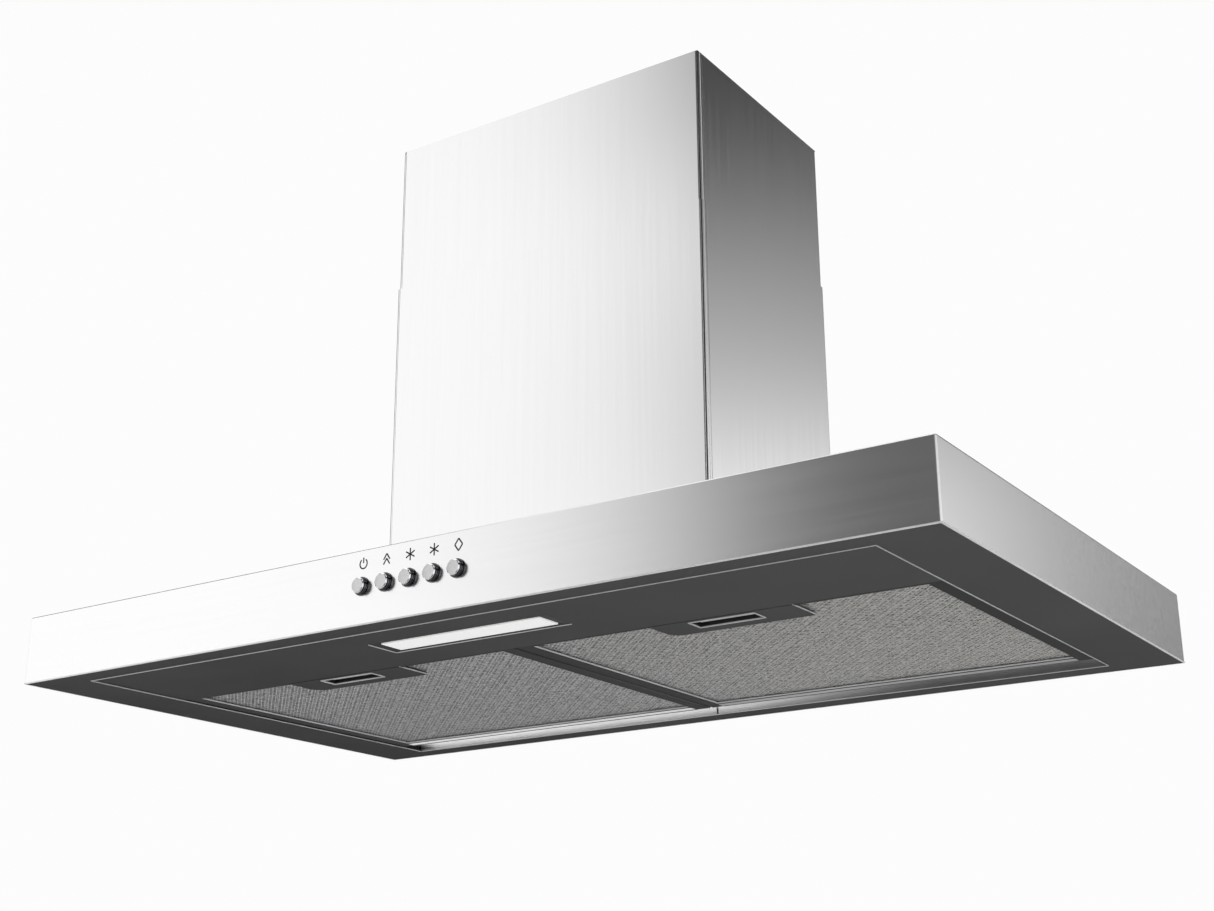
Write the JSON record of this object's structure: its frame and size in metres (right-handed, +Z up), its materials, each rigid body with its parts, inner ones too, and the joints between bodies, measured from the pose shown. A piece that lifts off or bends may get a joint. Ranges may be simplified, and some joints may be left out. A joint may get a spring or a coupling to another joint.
{
  "type": "island range hood",
  "caption": "Box-canopy ceiling extractor hood with telescoping chimney, push buttons, LED strip, hinged mesh grease filters, centrifugal blower and backdraft damper.",
  "frame": {"origin": "centre of the ceiling bolt pattern, on the ceiling plate's top face", "axes": "+X to the right seen from the button side, +Y to the back, +Z up into the ceiling"},
  "size_m": [0.9, 0.526, 0.538],
  "materials": {
    "stainless": "fine vertical brushed stainless steel, satin",
    "underside": "satin charcoal coated steel",
    "rail": "bright drawn aluminium",
    "filter_metal": "satin anodised aluminium",
    "filter_mesh": "expanded aluminium mesh",
    "handle": "satin charcoal",
    "latch": "matte",
    "galvanised": "galvanised sheet steel",
    "fastener": "zinc plated",
    "button_cap": "spun cap with polished side",
    "bezel": "polished",
    "black_plastic": "moulded",
    "fan_plastic": "moulded",
    "lens": "frosted diffuser",
    "board": "circuit board",
    "motor": "laminated steel",
    "bearing": "sintered bronze",
    "shaft": "ground steel"
  },
  "bodies": {
    "ceiling_mount": {"ceiling_plate": "galvanised", "upper_posts": "galvanised", "post_foot_screws": "fastener", "upper_chimney_cover": "stainless", "cover_screws": "fastener"},
    "lower_chimney": {"lower_chimney_cover": "stainless"},
    "blower_rotor": {"blower_wheel": "fan_plastic", "motor_shaft": "shaft"},
    "damper_left": {"damper_flap_left": "galvanised"},
    "damper_right": {"damper_flap_right": "galvanised"},
    "filter_left": {"filter_frame_left": "filter_metal", "filter_mesh_left": "filter_mesh", "filter_handle_left": "handle", "filter_pins_left": "fastener"},
    "latch_left": {"filter_latch_left": "latch"},
    "filter_right": {"filter_frame_right": "filter_metal", "filter_mesh_right": "filter_mesh", "filter_handle_right": "handle", "filter_pins_right": "fastener"},
    "latch_right": {"filter_latch_right": "latch"},
    "button_power": {"button_power": "button_cap"},
    "button_boost": {"button_boost": "button_cap"},
    "button_fan_low": {"button_fan_low": "button_cap"},
    "button_fan_high": {"button_fan_high": "button_cap"},
    "button_light": {"button_light": "button_cap"},
    "hood": {"blower_scroll": "galvanised", "button_bezels": "bezel", "cable_gland": "black_plastic", "canopy_shell": "stainless", "control_board": "board", "control_case": "black_plastic", "control_case_lid": "black_plastic", "deck_bolts": "fastener", "deck_nuts": "fastener", "filter_centre_bracket": "filter_metal", "filter_rear_rail": "rail", "inlet_rings": "galvanised", "junction_box": "black_plastic", "junction_lid": "black_plastic", "lamp_diffuser": "lens", "lamp_housing": "underside", "lamp_panel": "underside", "led_board": "board", "lower_posts": "galvanised", "motor_bearings": "bearing", "motor_box": "galvanised", "motor_box_screws": "fastener", "motor_bracket": "galvanised", "motor_capacitor": "black_plastic", "motor_stator": "motor", "outlet_collar": "galvanised", "post_clamp_bolts": "fastener", "post_clamp_nuts": "fastener", "switch_board": "board", "switch_housing": "black_plastic", "terminal_block": "black_plastic", "underside_frame": "underside"}
  },
  "joints": [
    {"name": "height_adjust", "type": "slide", "parent": "ceiling_mount", "child": "hood", "axis": [0, 0, -1], "range_m": [-0.05, 0.1]},
    {"name": "chimney_lift", "type": "slide", "parent": "hood", "child": "lower_chimney", "axis": [0, 0, 1], "range_m": [0, 0.08]},
    {"name": "blower_spin", "type": "hinge", "parent": "hood", "child": "blower_rotor", "pos_m": [0, -0.012, -0.39], "axis": [1, 0, 0], "continuous": true},
    {"name": "damper_left_swing", "type": "hinge", "parent": "hood", "child": "damper_left", "pos_m": [-0.0035, 0, -0.235], "axis": [0, 1, 0], "range_deg": [0, 75]},
    {"name": "damper_right_swing", "type": "hinge", "parent": "hood", "child": "damper_right", "pos_m": [0.0035, 0, -0.235], "axis": [0, -1, 0], "range_deg": [0, 75]},
    {"name": "filter_left_swing", "type": "hinge", "parent": "hood", "child": "filter_left", "pos_m": [-0.19525, 0.166, -0.5305], "axis": [1, 0, 0], "range_deg": [0, 70]},
    {"name": "latch_left_pull", "type": "slide", "parent": "filter_left", "child": "latch_left", "axis": [0, 1, 0], "range_m": [0, 0.005], "stiffness_N_per_m": 300},
    {"name": "filter_right_swing", "type": "hinge", "parent": "hood", "child": "filter_right", "pos_m": [0.19525, 0.166, -0.5305], "axis": [1, 0, 0], "range_deg": [0, 70]},
    {"name": "latch_right_pull", "type": "slide", "parent": "filter_right", "child": "latch_right", "axis": [0, 1, 0], "range_m": [0, 0.005], "stiffness_N_per_m": 300},
    {"name": "button_power_press", "type": "slide", "parent": "hood", "child": "button_power", "axis": [0, 1, 0], "range_m": [0, 0.003], "stiffness_N_per_m": 400},
    {"name": "button_boost_press", "type": "slide", "parent": "hood", "child": "button_boost", "axis": [0, 1, 0], "range_m": [0, 0.003], "stiffness_N_per_m": 400},
    {"name": "button_fan_low_press", "type": "slide", "parent": "hood", "child": "button_fan_low", "axis": [0, 1, 0], "range_m": [0, 0.003], "stiffness_N_per_m": 400},
    {"name": "button_fan_high_press", "type": "slide", "parent": "hood", "child": "button_fan_high", "axis": [0, 1, 0], "range_m": [0, 0.003], "stiffness_N_per_m": 400},
    {"name": "button_light_press", "type": "slide", "parent": "hood", "child": "button_light", "axis": [0, 1, 0], "range_m": [0, 0.003], "stiffness_N_per_m": 400}
  ]
}
